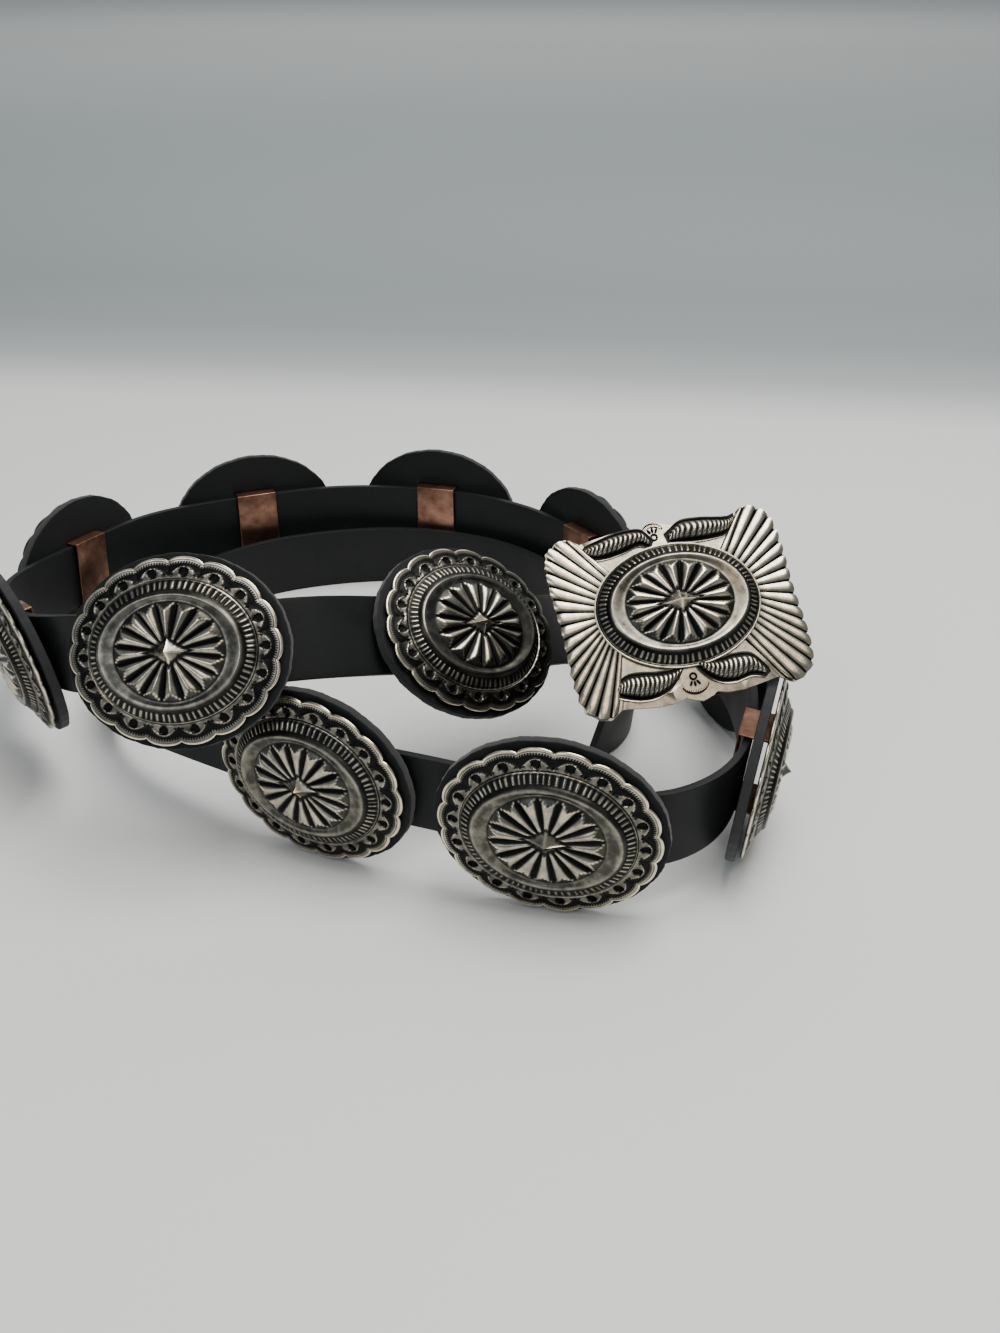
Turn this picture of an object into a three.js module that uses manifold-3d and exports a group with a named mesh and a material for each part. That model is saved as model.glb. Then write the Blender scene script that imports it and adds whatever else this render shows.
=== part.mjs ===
// Concho belt, lying in a one and a half turn coil on a table.
// Millimetres, +Z up. The front of the coil faces -Y, and +X is to the right. The origin is on the table, under the
// middle of the belt. A leather strap carries eleven stamped silver conchos, each on an oval leather backing and held by
// a copper loop, and starts at a silver buckle. Its bare tail turns back inside the coil.

import * as THREE from 'three';
import * as BufferGeometryUtils from 'three/addons/utils/BufferGeometryUtils.js';
import Module from 'manifold-3d';

const wasm = await Module();
wasm.setup();

// Sizes.

const CLEARANCE = 0.3; // between neighbouring pieces

// Strap
const STRAP_WIDTH = 25.4;
const STRAP_THICKNESS = 2.6;
const FOLD_LENGTH = 24; // the end folded back behind the buckle's bail
const STRAP_STEPS = 132;

// Coil: half of its length along X and of its depth along Y, to the middle of the strap
const COIL_HALF_LENGTH = 130;
const COIL_HALF_DEPTH = 118;
const UPPER_TURN_RISE = 40.7; // how far the buckle end climbs over the lower turn

// Leather backing under each concho
const BACKING_LENGTH = 70;
const BACKING_HEIGHT = 58.6;
const BACKING_THICKNESS = 3;
const CONCHO_STANDOFF = 2.2; // the copper legs hold the silver off the leather

// Silver concho
const CONCHO_LENGTH = 66.8;
const CONCHO_HEIGHT = 56.4;
const CONCHO_RISE = 8.2; // from its back to the point of the boss
const SILVER_THICKNESS = 1.1;
const PETALS = 16;
const LOBES = 18;
const LOBE_DEPTH = 1.3;

// Copper loop
const LOOP_WIDTH = 16.8;
const LOOP_THICKNESS = 0.8;
const LOOP_SLACK = 1.3; // between the strap and the loop behind it
const LOOP_SIDE_GAP = 0.5; // between the strap's edges and the loop's legs
const LOOP_LEG_RISE = 2.5; // how far the legs, soldered to the silver, reach up inside the hollow concho

// Buckle
const BUCKLE_LENGTH = 73.5;
const BUCKLE_HEIGHT = 58;
const BUCKLE_RISE = 8.4;
const BUCKLE_OVAL_LENGTH = 51;
const BUCKLE_OVAL_HEIGHT = 38.8;
const BUCKLE_OVAL_RAISE = 1.4; // how much nearer the plate's upper edge the oval and the leaves lie
const RAYS_PER_FAN = 17;
const RAY_RELIEF = 0.45;
const RAY_SCALLOP = 0.9;
const LEAF_LENGTH = 22;
const LEAF_WIDTH = 6.2;
const LEAF_RISE = 1.9;
const BAIL_BAR_RADIUS = 1.5;
const BAIL_SETBACK = 14; // from the buckle's middle toward the strap
const HOOK_WIDTH = 8;
const HOOK_LENGTH = 9;
const HOOK_THICKNESS = 1.4;
const HOOK_TIP_RISE = 1; // how much nearer the plate its tip lies than its bend
const HOOK_MARGIN = 0.6; // between the end of the buckle's oval and the hook's foot

// Where the buckle lies, in shares of the coil, and how it leans
const BUCKLE_PLACE = { x: 0.8, y: -0.623, lift: 1.157 };
const BUCKLE_FACING = 6; // degrees, toward +X
const BUCKLE_LEAN = 45; // degrees, back
const BUCKLE_ROLL = 9; // degrees, its right end higher

// Route of the strap's middle line, from the buckle to the tail's cut end. x and y are shares of the coil's half length
// and half depth. lift is the height: 0 where the conchos stand on the table on their rims, 1 at the full rise of the
// upper turn, -1 where the bare strap stands on its edge. leanX and leanY tip the strap's upper edge.
const ROUTE = [
  { x: 0.704, y: -0.339, lift: 0.533, leanX: -0.22, leanY: 0.68 },
  { x: 0.662, y: -0.208, lift: 0.398, leanX: -0.22, leanY: 0.68 },
  { x: 0.558, y: -0.157, lift: 0.324, leanX: -0.21, leanY: 0.69 },
  { x: 0.435, y: -0.26, lift: 0.425, leanX: -0.2, leanY: 0.685 },
  { x: 0.286, y: -0.406, lift: 0.624, leanX: -0.2, leanY: 0.68, concho: '01' },
  { x: 0.115, y: -0.519, lift: 0.796, leanX: -0.15, leanY: 0.63 },
  { x: -0.073, y: -0.663, lift: 0.99, leanX: -0.06, leanY: 0.52 },
  { x: -0.348, y: -0.699, lift: 0.936, leanX: -0.02, leanY: 0.46, concho: '02' },
  { x: -0.628, y: -0.59, lift: 0.74, leanX: -0.1, leanY: 0.2 },
  { x: -0.829, y: -0.316, lift: 0.405, leanX: -0.15, leanY: -0.07, concho: '03' },
  { x: -0.996, y: 0.093, lift: 0.14, leanX: -0.1, leanY: -0.03 },
  { x: -0.904, y: 0.505, lift: 0, leanX: 0, leanY: 0, concho: '04' },
  { x: -0.746, y: 0.75, lift: 0, leanX: 0, leanY: 0 },
  { x: -0.434, y: 0.929, lift: 0, leanX: 0, leanY: 0, concho: '05' },
  { x: -0.158, y: 1.019, lift: 0, leanX: 0, leanY: 0 },
  { x: 0.173, y: 0.99, lift: 0, leanX: 0, leanY: 0, concho: '06' },
  { x: 0.456, y: 0.833, lift: 0, leanX: 0, leanY: 0 },
  { x: 0.642, y: 0.581, lift: 0, leanX: 0, leanY: 0, concho: '07' },
  { x: 0.842, y: 0.178, lift: 0, leanX: 0, leanY: 0 },
  { x: 0.981, y: -0.085, lift: 0, leanX: 0, leanY: 0, concho: '08' },
  { x: 1.019, y: -0.398, lift: 0, leanX: 0.06, leanY: -0.01 },
  { x: 0.973, y: -0.711, lift: 0.007, leanX: 0.105, leanY: -0.036, concho: '09' },
  { x: 0.887, y: -0.915, lift: -0.024, leanX: 0.08, leanY: -0.02 },
  { x: 0.731, y: -1.013, lift: -0.084, leanX: 0.02, leanY: 0 },
  { x: 0.504, y: -0.981, lift: 0.002, leanX: 0, leanY: 0, concho: '10' },
  { x: 0.231, y: -0.884, lift: 0.032, leanX: 0, leanY: 0 },
  { x: -0.042, y: -0.751, lift: 0, leanX: 0, leanY: 0, concho: '11' },
  { x: -0.296, y: -0.582, lift: -0.078, leanX: 0, leanY: 0 },
  { x: -0.5, y: -0.428, lift: -0.169, leanX: 0, leanY: 0 },
  { x: -0.642, y: -0.263, lift: -0.44, leanX: 0, leanY: 0 },
  { x: -0.715, y: -0.068, lift: -0.741, leanX: 0, leanY: 0 },
  { x: -0.731, y: 0.136, lift: -0.922, leanX: 0, leanY: 0 },
  { x: -0.696, y: 0.39, lift: -1, leanX: 0, leanY: 0 },
  { x: -0.6, y: 0.61, lift: -1, leanX: 0, leanY: 0 },
  { x: -0.377, y: 0.843, lift: -1, leanX: 0, leanY: 0 },
  { x: -0.023, y: 0.953, lift: -1, leanX: 0, leanY: 0 },
  { x: 0.2, y: 0.924, lift: -1, leanX: 0, leanY: 0 },
  { x: 0.385, y: 0.826, lift: -1, leanX: 0, leanY: 0 },
  { x: 0.531, y: 0.665, lift: -1, leanX: 0, leanY: 0 },
  { x: 0.623, y: 0.458, lift: -1, leanX: 0, leanY: 0 },
  { x: 0.715, y: 0.178, lift: -1, leanX: 0, leanY: 0 },
  { x: 0.762, y: -0.076, lift: -1, leanX: 0.05, leanY: 0 },
  { x: 0.727, y: -0.254, lift: -0.988, leanX: 0.2, leanY: -0.05 },
  { x: 0.642, y: -0.356, lift: -0.976, leanX: 0.25, leanY: -0.15 },
];

// Materials
const silver = new THREE.MeshStandardMaterial({ color: 0xa8a39a, roughness: 0.3, metalness: 1 });
const leather = new THREE.MeshStandardMaterial({ color: 0x15181b, roughness: 0.6, metalness: 0 });
const copper = new THREE.MeshStandardMaterial({ color: 0x9a6a55, roughness: 0.38, metalness: 1 });

// Closed meshes from rings.

// A growing list of points and triangles that becomes one closed body.
class Skin {
  constructor() {
    this.points = [];
    this.faces = [];
  }

  // Adds a ring of points and returns their numbers.
  ring(points) {
    const start = this.points.length;
    this.points.push(...points);
    return points.map((_, i) => start + i);
  }

  // Joins two closed rings that run the same way round, which may have different numbers of points. Each step goes to
  // whichever ring has the nearer next turn. Seen from outside, the first ring lies inside the second.
  join(inner, outer) {
    const a = inner.length;
    const b = outer.length;
    let i = 0;
    let j = 0;
    while (i < a || j < b) {
      const nextInner = (i + 0.5) / a;
      const nextOuter = (j + 0.5) / b;
      if (j >= b || (i < a && nextInner < nextOuter)) {
        this.faces.push([inner[i % a], outer[j % b], inner[(i + 1) % a]]);
        i += 1;
      } else {
        this.faces.push([inner[i % a], outer[j % b], outer[(j + 1) % b]]);
        j += 1;
      }
    }
  }

  // Closes a ring onto one point. up is true where the ring is seen from above.
  fan(ring, point, up) {
    const [centre] = this.ring([point]);
    for (let i = 0; i < ring.length; i += 1) {
      const next = ring[(i + 1) % ring.length];
      this.faces.push(up ? [centre, ring[i], next] : [centre, next, ring[i]]);
    }
  }

  geometry() {
    const geometry = new THREE.BufferGeometry();
    const flat = this.points.flatMap((p) => [p.x, p.y, p.z]);
    geometry.setAttribute('position', new THREE.Float32BufferAttribute(flat, 3));
    geometry.setIndex(this.faces.flat());
    return geometry;
  }
}

// Points around an ellipse, counter-clockwise from +X, evenly spaced in the ellipse's own angle. height may be a
// number or a function of the point's number.
function ellipse(halfLength, halfHeight, count, height) {
  const points = [];
  for (let i = 0; i < count; i += 1) {
    const angle = (2 * Math.PI * i) / count;
    const z = typeof height === 'function' ? height(i) : height;
    points.push(new THREE.Vector3(halfLength * Math.cos(angle), halfHeight * Math.sin(angle), z));
  }
  return points;
}

// The stamped middle that concho and buckle share: boss, petals, smooth band and rounded ridge. Sizes follow the
// half length and half height of the ladder ring around it and the rise of the boss over the back.
function stampedMiddle(skin, halfLength, halfHeight, rise) {
  const at = (share, count, height) => skin.ring(ellipse(halfLength * share, halfHeight * share, count, height));
  const points = PETALS * 2;
  const high = (i) => i % 2 === 0;
  const bossFoot = skin.ring([
    new THREE.Vector3(halfLength * 0.2, 0, rise * 0.76),
    new THREE.Vector3(0, halfHeight * 0.14, rise * 0.76),
    new THREE.Vector3(-halfLength * 0.2, 0, rise * 0.76),
    new THREE.Vector3(0, -halfHeight * 0.14, rise * 0.76),
  ]);
  const petalRoot = at(0.24, points, (i) => rise * (high(i) ? 0.72 : 0.6));
  const petalTop = at(0.57, points, (i) => rise * (high(i) ? 0.68 : 0.49));
  const petalEnd = at(0.67, points, rise * 0.46);
  const ridge = at(0.81, points, rise * 0.55);
  const ridgeFoot = at(0.88, points, rise * 0.35);
  skin.fan(bossFoot, new THREE.Vector3(0, 0, rise), true);
  skin.join(bossFoot, petalRoot);
  skin.join(petalRoot, petalTop);
  skin.join(petalTop, petalEnd);
  skin.join(petalEnd, ridge);
  skin.join(ridge, ridgeFoot);
  return ridgeFoot;
}

// The hollow underside of a stamped piece, from its edge ring in to the middle.
function hollowUnderside(skin, edge, halfLength, halfHeight, rise) {
  const outer = skin.ring(ellipse(halfLength, halfHeight, 24, SILVER_THICKNESS * 0.23));
  const inner = skin.ring(ellipse(halfLength * 0.72, halfHeight * 0.72, 16, rise * 0.5 - SILVER_THICKNESS));
  skin.join([...outer].reverse(), [...edge].reverse());
  skin.join([...inner].reverse(), [...outer].reverse());
  skin.fan(inner, new THREE.Vector3(0, 0, rise * 0.68 - SILVER_THICKNESS), false);
}

// Concho.

function conchoGeometry() {
  const skin = new Skin();
  const halfLength = CONCHO_LENGTH / 2;
  const halfHeight = CONCHO_HEIGHT / 2;
  const ladder = 0.79;
  const middle = stampedMiddle(skin, halfLength * ladder, halfHeight * ladder, CONCHO_RISE);
  const ladderEdge = skin.ring(ellipse(halfLength * ladder, halfHeight * ladder, PETALS * 2, CONCHO_RISE * 0.22));
  const scallop = (z) => {
    const points = ellipse(halfLength, halfHeight, LOBES * 3, z);
    return points.map((p, i) => {
      const cusp = i % 3 === 1;
      const depth = cusp ? LOBE_DEPTH : 0.12 * LOBE_DEPTH;
      return p.multiply(new THREE.Vector3(1 - depth / halfLength, 1 - depth / halfHeight, 1));
    });
  };
  const rimTop = skin.ring(scallop(SILVER_THICKNESS));
  const rimBack = skin.ring(scallop(0));
  skin.join(middle, ladderEdge);
  skin.join(ladderEdge, rimTop);
  skin.join(rimTop, rimBack);
  hollowUnderside(skin, rimBack, halfLength * 0.84, halfHeight * 0.84, CONCHO_RISE);
  return skin.geometry();
}

// Leather backing and copper loop.

const strapFront = STRAP_THICKNESS / 2;
const backingBack = strapFront + CLEARANCE;
const backingFront = backingBack + BACKING_THICKNESS;
const conchoBack = backingFront + CONCHO_STANDOFF;
const legInside = STRAP_WIDTH / 2 + LOOP_SIDE_GAP;
const legOutside = legInside + LOOP_THICKNESS;
const loopFront = conchoBack + LOOP_LEG_RISE;
const loopInside = -strapFront - LOOP_SLACK;

// Drawn in the plane of the backing: X along the strap, Y across it, Z outward from the strap's middle.
function backingGeometry() {
  const shape = new THREE.Shape();
  shape.absellipse(0, 0, BACKING_LENGTH / 2, BACKING_HEIGHT / 2, 0, 2 * Math.PI, false);
  for (const side of [-1, 1]) {
    const low = Math.min(side * (legInside - CLEARANCE), side * (legOutside + CLEARANCE));
    const high = Math.max(side * (legInside - CLEARANCE), side * (legOutside + CLEARANCE));
    const end = LOOP_WIDTH / 2 + CLEARANCE;
    const slot = new THREE.Path();
    slot.moveTo(-end, low);
    slot.lineTo(-end, high);
    slot.lineTo(end, high);
    slot.lineTo(end, low);
    slot.closePath();
    shape.holes.push(slot);
  }
  const geometry = new THREE.ExtrudeGeometry(shape, {
    depth: BACKING_THICKNESS,
    bevelEnabled: false,
    curveSegments: 20,
  });
  geometry.translate(0, 0, backingBack);
  return geometry;
}

function loopGeometry() {
  const shape = new THREE.Shape();
  shape.moveTo(legOutside, loopFront);
  shape.lineTo(legInside, loopFront);
  shape.lineTo(legInside, loopInside);
  shape.lineTo(-legInside, loopInside);
  shape.lineTo(-legInside, loopFront);
  shape.lineTo(-legOutside, loopFront);
  shape.lineTo(-legOutside, loopInside - LOOP_THICKNESS);
  shape.lineTo(legOutside, loopInside - LOOP_THICKNESS);
  shape.closePath();
  const geometry = new THREE.ExtrudeGeometry(shape, { depth: LOOP_WIDTH, bevelEnabled: false });
  geometry.translate(0, 0, -LOOP_WIDTH / 2);
  // The section's X becomes the piece's Y, its Y becomes Z, and the extrusion runs along X.
  const turn = new THREE.Matrix4().makeBasis(
    new THREE.Vector3(0, 1, 0),
    new THREE.Vector3(0, 0, 1),
    new THREE.Vector3(1, 0, 0),
  );
  geometry.applyMatrix4(turn);
  return geometry;
}

// Buckle.

// One quarter of the buckle's outline, from the middle of its right side up to the middle of its top, in shares of
// the half length and half height. The first stretch is the scalloped end of the fan.
const FAN_EDGE = [
  [1, 0],
  [1.01, 0.3],
  [1.01, 0.62],
  [0.97, 0.88],
  [0.86, 0.98],
  [0.77, 1.0],
  [0.695, 0.915],
];
const LEAF_EDGE = [
  [0.64, 0.92],
  [0.53, 0.94],
  [0.36, 0.97],
  [0.22, 0.965],
  [0.13, 0.93],
  [0.09, 0.965],
  [0, 1.0],
];
const FAN_ROOT_ANGLE = 0.82; // radians, where the fan's last ray meets the ladder ring

// Outline points of a quarter, each with its angle on the ladder ring and how high its ray stands there.
function buckleQuarter() {
  const edge = new THREE.CatmullRomCurve3(FAN_EDGE.map(([x, y]) => new THREE.Vector3(x, y, 0)), false, 'centripetal');
  const stops = RAYS_PER_FAN; // half rays in a quarter of the outline
  const points = [];
  for (let i = 0; i <= stops; i += 1) {
    const share = i / stops;
    const p = edge.getPointAt(share);
    const crest = i % 2 === 0;
    const out = crest ? 0 : RAY_SCALLOP;
    points.push({
      x: (p.x * BUCKLE_LENGTH) / 2 - out,
      y: (p.y * BUCKLE_HEIGHT) / 2,
      angle: share * FAN_ROOT_ANGLE,
      relief: crest ? RAY_RELIEF : -RAY_RELIEF,
    });
  }
  LEAF_EDGE.forEach(([x, y], i) => {
    const share = (i + 1) / LEAF_EDGE.length;
    points.push({
      x: (x * BUCKLE_LENGTH) / 2,
      y: (y * BUCKLE_HEIGHT) / 2,
      angle: FAN_ROOT_ANGLE + share * (Math.PI / 2 - FAN_ROOT_ANGLE),
      relief: 0,
    });
  });
  return points;
}

// The whole outline, counter-clockwise from the middle of the right side, about the middle of the oval.
function buckleOutline() {
  const quarter = buckleQuarter();
  const mirror = (list, sx, sy) => list.map((p) => ({
    ...p,
    x: sx * p.x,
    y: sy * p.y,
    angle: Math.atan2(sy * Math.sin(p.angle), sx * Math.cos(p.angle)),
  }));
  const inner = quarter.slice(1, -1);
  const around = [
    quarter[0],
    ...inner,
    quarter.at(-1),
    ...mirror([...inner].reverse(), -1, 1),
    ...mirror([quarter[0]], -1, 1),
    ...mirror(inner, -1, -1),
    ...mirror([quarter.at(-1)], 1, -1),
    ...mirror([...inner].reverse(), 1, -1),
  ];
  return around.map((p) => ({ ...p, y: p.y - BUCKLE_OVAL_RAISE }));
}

function bucklePlateGeometry() {
  const skin = new Skin();
  const a = BUCKLE_OVAL_LENGTH / 2;
  const b = BUCKLE_OVAL_HEIGHT / 2;
  const outline = buckleOutline();
  const middle = stampedMiddle(skin, a, b, BUCKLE_RISE);
  const seat = BUCKLE_RISE * 0.3;
  const rise = SILVER_THICKNESS + RAY_RELIEF;
  const root = skin.ring(outline.map((p) => new THREE.Vector3(a * Math.cos(p.angle), b * Math.sin(p.angle), seat)));
  const edgeTop = skin.ring(outline.map((p) => new THREE.Vector3(p.x, p.y, rise + p.relief)));
  const edgeBack = skin.ring(outline.map((p) => new THREE.Vector3(p.x, p.y, 0)));
  joinByAngle(skin, middle, root);
  for (let i = 0; i < outline.length; i += 1) {
    const next = (i + 1) % outline.length;
    skin.faces.push([root[i], edgeTop[i], edgeTop[next]]);
    skin.faces.push([root[i], edgeTop[next], root[next]]);
  }
  skin.join(edgeTop, edgeBack);
  const backRise = SILVER_THICKNESS * 0.36;
  const back = skin.ring(outline.map((p) => new THREE.Vector3(a * Math.cos(p.angle), b * Math.sin(p.angle), backRise)));
  skin.join([...back].reverse(), [...edgeBack].reverse());
  const inner = skin.ring(ellipse(a * 0.72, b * 0.72, 16, BUCKLE_RISE * 0.5 - SILVER_THICKNESS));
  joinByAngle(skin, [...inner].reverse(), [...back].reverse());
  skin.fan(inner, new THREE.Vector3(0, 0, BUCKLE_RISE * 0.68 - SILVER_THICKNESS), false);
  return skin.geometry();
}

// Joins two closed rings of unlike spacing by the angle of their points about the middle.
function joinByAngle(skin, inner, outer) {
  const turnOf = (ring) => {
    const first = skin.points[ring[0]];
    const second = skin.points[ring[1]];
    const way = Math.sign(first.x * second.y - first.y * second.x);
    return ring.map((id) => {
      const p = skin.points[id];
      return way * Math.atan2(p.y, p.x);
    });
  };
  const wrap = (angle) => ((angle % (2 * Math.PI)) + 2 * Math.PI) % (2 * Math.PI);
  const startNear = (ring) => {
    const turns = turnOf(ring).map(wrap);
    const least = turns.indexOf(Math.min(...turns));
    const rolled = [...ring.slice(least), ...ring.slice(0, least)];
    return { ids: rolled, turns: [...turns.slice(least), ...turns.slice(0, least), turns[least] + 2 * Math.PI] };
  };
  const A = startNear(inner);
  const B = startNear(outer);
  let i = 0;
  let j = 0;
  while (i < inner.length || j < outer.length) {
    const takeInner = j >= outer.length || (i < inner.length && A.turns[i + 1] < B.turns[j + 1]);
    const p = A.ids[i % inner.length];
    const q = B.ids[j % outer.length];
    if (takeInner) {
      skin.faces.push([p, q, A.ids[(i + 1) % inner.length]]);
      i += 1;
    } else {
      skin.faces.push([p, q, B.ids[(j + 1) % outer.length]]);
      j += 1;
    }
  }
}

// One raised S-shaped leaf, drawn along +X from its root at the origin.
function leafGeometry() {
  const skin = new Skin();
  const stops = 7;
  const left = [];
  const right = [];
  const crest = [];
  for (let i = 0; i <= stops; i += 1) {
    const share = i / stops;
    const bend = LEAF_WIDTH * 0.22 * Math.sin(2 * Math.PI * share);
    const half = (LEAF_WIDTH / 2) * Math.sin(Math.PI * (0.1 + 0.85 * share)) ** 0.8;
    left.push(new THREE.Vector3(share * LEAF_LENGTH, bend + half, 0));
    right.push(new THREE.Vector3(share * LEAF_LENGTH, bend - half, 0));
    if (i > 0 && i < stops) {
      crest.push(new THREE.Vector3(share * LEAF_LENGTH, bend, LEAF_RISE));
    }
  }
  const foot = [...right, ...left.reverse()];
  const low = skin.ring(foot.map((p) => new THREE.Vector3(p.x, p.y, -LEAF_RISE)));
  const rim = skin.ring(foot);
  const crestIds = skin.ring(crest);
  for (let i = 0; i < foot.length; i += 1) {
    const next = (i + 1) % foot.length;
    skin.faces.push([low[i], low[next], rim[next]]);
    skin.faces.push([low[i], rim[next], rim[i]]);
  }
  for (let i = 0; i < stops; i += 1) {
    const a = crestIds[Math.max(0, i - 1)];
    const b = crestIds[Math.min(stops - 2, i)];
    const mirror = foot.length - 1 - i;
    skin.faces.push([rim[i], rim[i + 1], b]);
    skin.faces.push([rim[mirror - 1], rim[mirror], b]);
    if (a !== b) {
      skin.faces.push([rim[i], b, a]);
      skin.faces.push([rim[mirror], a, b]);
    }
    skin.faces.push([low[i], low[mirror], low[mirror - 1]]);
    skin.faces.push([low[i], low[mirror - 1], low[i + 1]]);
  }
  const firstCrest = crestIds[0];
  const lastCrest = crestIds.at(-1);
  skin.faces.push([rim[foot.length - 1], rim[0], firstCrest]);
  skin.faces.push([rim[stops], rim[stops + 1], lastCrest]);
  return skin.geometry();
}

function solidOf(geometry) {
  const bare = geometry.clone();
  bare.deleteAttribute('normal');
  bare.deleteAttribute('uv');
  const merged = BufferGeometryUtils.mergeVertices(bare, 1e-4);
  return new wasm.Manifold(new wasm.Mesh({
    numProp: 3,
    vertProperties: new Float32Array(merged.attributes.position.array),
    triVerts: new Uint32Array(merged.index.array),
  }));
}

function geometryOf(solid) {
  const mesh = solid.getMesh();
  const geometry = new THREE.BufferGeometry();
  geometry.setAttribute('position', new THREE.BufferAttribute(new Float32Array(mesh.vertProperties), 3));
  geometry.setIndex(new THREE.BufferAttribute(new Uint32Array(mesh.triVerts), 1));
  return geometry;
}

const bailDrop = CLEARANCE * 2 + STRAP_THICKNESS + CLEARANCE + BAIL_BAR_RADIUS + SILVER_THICKNESS;

// The bail: a round bar across the back that the strap folds around, on two posts.
function bailGeometries() {
  const postWidth = 2 * BAIL_BAR_RADIUS;
  const postAt = STRAP_WIDTH / 2 + LOOP_SIDE_GAP + postWidth / 2;
  const bar = new THREE.CylinderGeometry(BAIL_BAR_RADIUS, BAIL_BAR_RADIUS, 2 * postAt, 8);
  bar.translate(-BAIL_SETBACK, 0, -bailDrop);
  const postTop = BUCKLE_RISE * 0.28;
  const postLength = postTop + bailDrop + BAIL_BAR_RADIUS;
  const posts = [-1, 1].map((side) => {
    const post = new THREE.BoxGeometry(postWidth, postWidth, postLength);
    post.translate(-BAIL_SETBACK, side * postAt, postTop - postLength / 2);
    return post;
  });
  return [bar, ...posts];
}

// The hook: a bent silver strip behind the far end, which takes the strap's tail when the belt is worn.
function hookGeometry() {
  const t = HOOK_THICKNESS;
  const drop = bailDrop;
  const footTop = SILVER_THICKNESS * 0.8;
  const shape = new THREE.Shape();
  shape.moveTo(0, footTop);
  shape.lineTo(0, -drop);
  shape.lineTo(HOOK_LENGTH, -drop + HOOK_TIP_RISE);
  shape.lineTo(HOOK_LENGTH, -drop + HOOK_TIP_RISE + t);
  shape.lineTo(t, -drop + t);
  shape.lineTo(t, footTop);
  shape.closePath();
  const geometry = new THREE.ExtrudeGeometry(shape, { depth: HOOK_WIDTH, bevelEnabled: false });
  geometry.translate(0, 0, -HOOK_WIDTH / 2);
  geometry.applyMatrix4(new THREE.Matrix4().makeBasis(
    new THREE.Vector3(1, 0, 0),
    new THREE.Vector3(0, 0, 1),
    new THREE.Vector3(0, -1, 0),
  ));
  geometry.translate(BUCKLE_OVAL_LENGTH / 2 + HOOK_MARGIN, 0, 0);
  return geometry;
}

function buckleGeometry() {
  let solid = solidOf(bucklePlateGeometry());
  const leafRootX = BUCKLE_OVAL_LENGTH * 0.1;
  const leafRootY = BUCKLE_HEIGHT * 0.395;
  for (const sx of [-1, 1]) {
    for (const sy of [-1, 1]) {
      const leaf = leafGeometry();
      leaf.rotateZ(-0.1);
      leaf.translate(leafRootX, leafRootY, SILVER_THICKNESS + 2 * RAY_RELIEF);
      leaf.scale(sx, sy, 1);
      if (sx * sy < 0) {
        const index = leaf.index.array;
        for (let i = 0; i < index.length; i += 3) {
          [index[i], index[i + 1]] = [index[i + 1], index[i]];
        }
      }
      solid = solid.add(solidOf(leaf));
    }
  }
  solid = solid.translate([0, BUCKLE_OVAL_RAISE, 0]);
  for (const piece of [...bailGeometries(), hookGeometry()]) {
    solid = solid.add(solidOf(piece));
  }
  return geometryOf(solid);
}

// The strap's route.

const standingHeight = BACKING_HEIGHT / 2; // of the strap's middle where a concho stands on its rim
const edgeHeight = STRAP_WIDTH / 2; // of the strap's middle where the bare strap stands on its edge

function placeOf(share) {
  const z = share.lift >= 0
    ? standingHeight + share.lift * UPPER_TURN_RISE
    : standingHeight + share.lift * (standingHeight - edgeHeight);
  return new THREE.Vector3(share.x * COIL_HALF_LENGTH, share.y * COIL_HALF_DEPTH, z);
}

const degrees = THREE.MathUtils.degToRad;
const buckleTurn = new THREE.Matrix4()
  .makeRotationZ(degrees(BUCKLE_FACING))
  .multiply(new THREE.Matrix4().makeRotationX(Math.PI / 2 - degrees(BUCKLE_LEAN)))
  .multiply(new THREE.Matrix4().makeRotationZ(degrees(BUCKLE_ROLL)));
const buckleX = new THREE.Vector3();
const buckleY = new THREE.Vector3();
const buckleZ = new THREE.Vector3();
buckleTurn.extractBasis(buckleX, buckleY, buckleZ);
const bucklePlace = placeOf(BUCKLE_PLACE);
const bailPlace = bucklePlace.clone()
  .addScaledVector(buckleX, -BAIL_SETBACK)
  .addScaledVector(buckleZ, -bailDrop);

// The strap leaves the bail straight back from the buckle, on the bail's left side.
const wrapRadius = BAIL_BAR_RADIUS + CLEARANCE + STRAP_THICKNESS / 2;
const firstPlace = bailPlace.clone().addScaledVector(buckleX, -wrapRadius);
const secondPlace = firstPlace.clone().addScaledVector(buckleZ, -FOLD_LENGTH / 2);

const places = [firstPlace, secondPlace, ...ROUTE.map(placeOf)];
const edges = [
  buckleY,
  buckleY,
  ...ROUTE.map((row) => new THREE.Vector3(row.leanX, row.leanY, Math.sqrt(1 - row.leanX ** 2 - row.leanY ** 2))),
];
const route = new THREE.CatmullRomCurve3(places, false, 'centripetal');
const edgeRoute = new THREE.CatmullRomCurve3(edges, false, 'centripetal');
route.arcLengthDivisions = 2000;

// Point, direction of travel, direction across the strap and outward direction at t, from 0 at the bail to 1.
function frameAt(t) {
  const point = route.getPoint(t);
  const along = route.getTangent(t).normalize();
  const wanted = edgeRoute.getPoint(t);
  const across = wanted.addScaledVector(along, -wanted.dot(along)).normalize();
  const outward = new THREE.Vector3().crossVectors(across, along);
  return { point, along, across, outward };
}

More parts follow.
